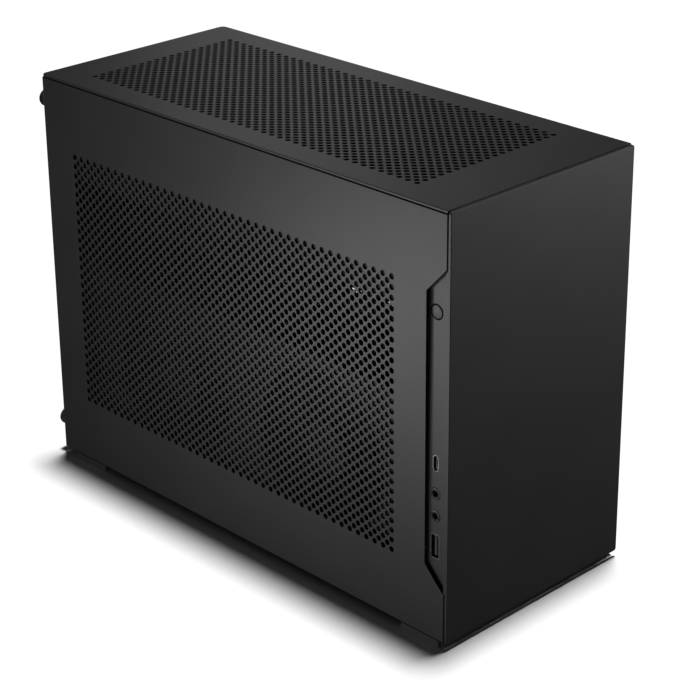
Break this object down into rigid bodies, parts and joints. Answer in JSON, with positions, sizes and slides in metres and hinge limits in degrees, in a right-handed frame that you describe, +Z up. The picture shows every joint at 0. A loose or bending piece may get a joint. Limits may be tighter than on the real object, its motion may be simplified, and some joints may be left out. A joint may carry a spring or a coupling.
{
  "type": "desktop computer tower",
  "caption": "Compact black desktop computer tower with perforated sides and top, plain front plate, recessed side port strip with round power button, and liquid-cooled internals.",
  "frame": {"origin": "on the floor, under the middle of the bounding box (body plus rear thumbscrews)", "axes": "+Z up; the plain front plate faces -Y; the side with the port strip is -X; the sockets at the back face +Y"},
  "size_m": [0.139, 0.329, 0.244],
  "materials": {
    "panel_aluminium": "fine matt black powder coat on aluminium",
    "chassis_steel": "matt black powder coat on steel",
    "screw_black": "black anodised, knurled",
    "screw_steel": "plain plated steel",
    "foot_rubber": "matt black rubber",
    "port_metal": "plated steel shell",
    "black_plastic": "moulded black plastic",
    "circuit_board": "black solder mask",
    "cable_jacket": "black cable jacket",
    "hose_rubber": "sleeved rubber hose",
    "heatsink_aluminium": "extruded aluminium",
    "radiator_black": "black painted core",
    "pump_plastic": "glossy black cover",
    "fan_plastic": "moulded dark plastic",
    "psu_steel": "black painted steel",
    "shroud_plastic": "moulded dark plastic"
  },
  "bodies": {
    "chassis": {"front_panel": "panel_aluminium", "io_bezel": "panel_aluminium", "front_bulkhead": "chassis_steel", "bottom_tray": "chassis_steel", "rear_panel": "chassis_steel", "center_wall": "chassis_steel", "board_tray": "chassis_steel", "top_rail_left": "chassis_steel", "top_rail_right": "chassis_steel", "top_bars": "chassis_steel", "slot_cover": "chassis_steel", "chassis_screws": "screw_steel", "button_spring": "screw_steel", "board_standoffs": "screw_steel", "feet": "foot_rubber", "usb_c_port": "port_metal", "usb_a_port": "port_metal", "rear_io_ports": "port_metal", "io_shield": "port_metal", "gpu_bracket": "port_metal", "audio_jacks": "black_plastic", "power_switch": "black_plastic", "board_sockets": "black_plastic", "power_inlet": "black_plastic", "stud_clips": "black_plastic", "front_io_board": "circuit_board", "motherboard": "circuit_board", "gpu_board": "circuit_board", "front_io_cable": "cable_jacket", "ac_lead": "cable_jacket", "power_cables": "cable_jacket", "riser_cable": "cable_jacket", "coolant_tubes": "hose_rubber", "gpu_heatsink": "heatsink_aluminium", "vrm_heatsink": "heatsink_aluminium", "m2_ssd": "heatsink_aluminium", "memory_sticks": "heatsink_aluminium", "radiator": "radiator_black", "pump_block": "pump_plastic", "fan_frame_front": "fan_plastic", "fan_frame_rear": "fan_plastic", "psu_case": "psu_steel", "psu_grille": "psu_steel", "gpu_shroud": "shroud_plastic"},
    "left_panel": {"left_side_panel": "panel_aluminium", "left_panel_fixings": "chassis_steel"},
    "right_panel": {"right_side_panel": "panel_aluminium", "right_panel_fixings": "chassis_steel"},
    "lid": {"top_panel": "panel_aluminium", "top_panel_studs": "chassis_steel"},
    "button": {"power_button": "panel_aluminium"},
    "screw_left_lower": {"thumbscrew_left_lower": "screw_black"},
    "screw_left_upper": {"thumbscrew_left_upper": "screw_black"},
    "screw_right_lower": {"thumbscrew_right_lower": "screw_black"},
    "screw_right_upper": {"thumbscrew_right_upper": "screw_black"},
    "radiator_rotor_front": {"fan_rotor_front": "fan_plastic"},
    "radiator_rotor_rear": {"fan_rotor_rear": "fan_plastic"},
    "psu_rotor": {"psu_fan_rotor": "fan_plastic"},
    "card_rotor_front": {"gpu_rotor_front": "fan_plastic"},
    "card_rotor_rear": {"gpu_rotor_rear": "fan_plastic"}
  },
  "joints": [
    {"name": "left_panel_slide", "type": "slide", "parent": "chassis", "child": "left_panel", "axis": [-1, 0, 0], "range_m": [0, 0.06]},
    {"name": "right_panel_slide", "type": "slide", "parent": "chassis", "child": "right_panel", "axis": [1, 0, 0], "range_m": [0, 0.06]},
    {"name": "lid_lift", "type": "slide", "parent": "chassis", "child": "lid", "axis": [0, 0, 1], "range_m": [0, 0.06]},
    {"name": "button_press", "type": "slide", "parent": "chassis", "child": "button", "axis": [1, 0, 0], "range_m": [0, 0.0008], "stiffness_N_per_m": 600, "springref_m": -0.002, "deforming": ["button_spring"]},
    {"name": "screw_left_lower_turn", "type": "hinge", "parent": "chassis", "child": "screw_left_lower", "pos_m": [-0.063, 0.16, 0.021], "axis": [0, 1, 0], "range_deg": [0, 720]},
    {"name": "screw_left_upper_turn", "type": "hinge", "parent": "chassis", "child": "screw_left_upper", "pos_m": [-0.063, 0.16, 0.227], "axis": [0, 1, 0], "range_deg": [0, 720]},
    {"name": "screw_right_lower_turn", "type": "hinge", "parent": "chassis", "child": "screw_right_lower", "pos_m": [0.063, 0.16, 0.021], "axis": [0, 1, 0], "range_deg": [0, 720]},
    {"name": "screw_right_upper_turn", "type": "hinge", "parent": "chassis", "child": "screw_right_upper", "pos_m": [0.063, 0.16, 0.227], "axis": [0, 1, 0], "range_deg": [0, 720]},
    {"name": "radiator_fan_front_spin", "type": "hinge", "parent": "chassis", "child": "radiator_rotor_front", "pos_m": [0, -0.05699, 0.225], "axis": [0, 0, 1], "continuous": true},
    {"name": "radiator_fan_rear_spin", "type": "hinge", "parent": "chassis", "child": "radiator_rotor_rear", "pos_m": [0, 0.06302, 0.225], "axis": [0, 0, 1], "continuous": true},
    {"name": "psu_fan_spin", "type": "hinge", "parent": "chassis", "child": "psu_rotor", "pos_m": [0.055, -0.09, 0.0685], "axis": [1, 0, 0], "continuous": true},
    {"name": "card_fan_front_spin", "type": "hinge", "parent": "chassis", "child": "card_rotor_front", "pos_m": [-0.05, -0.062, 0.076], "axis": [-1, 0, 0], "continuous": true},
    {"name": "card_fan_rear_spin", "type": "hinge", "parent": "chassis", "child": "card_rotor_rear", "pos_m": [-0.05, 0.06, 0.076], "axis": [-1, 0, 0], "continuous": true}
  ]
}
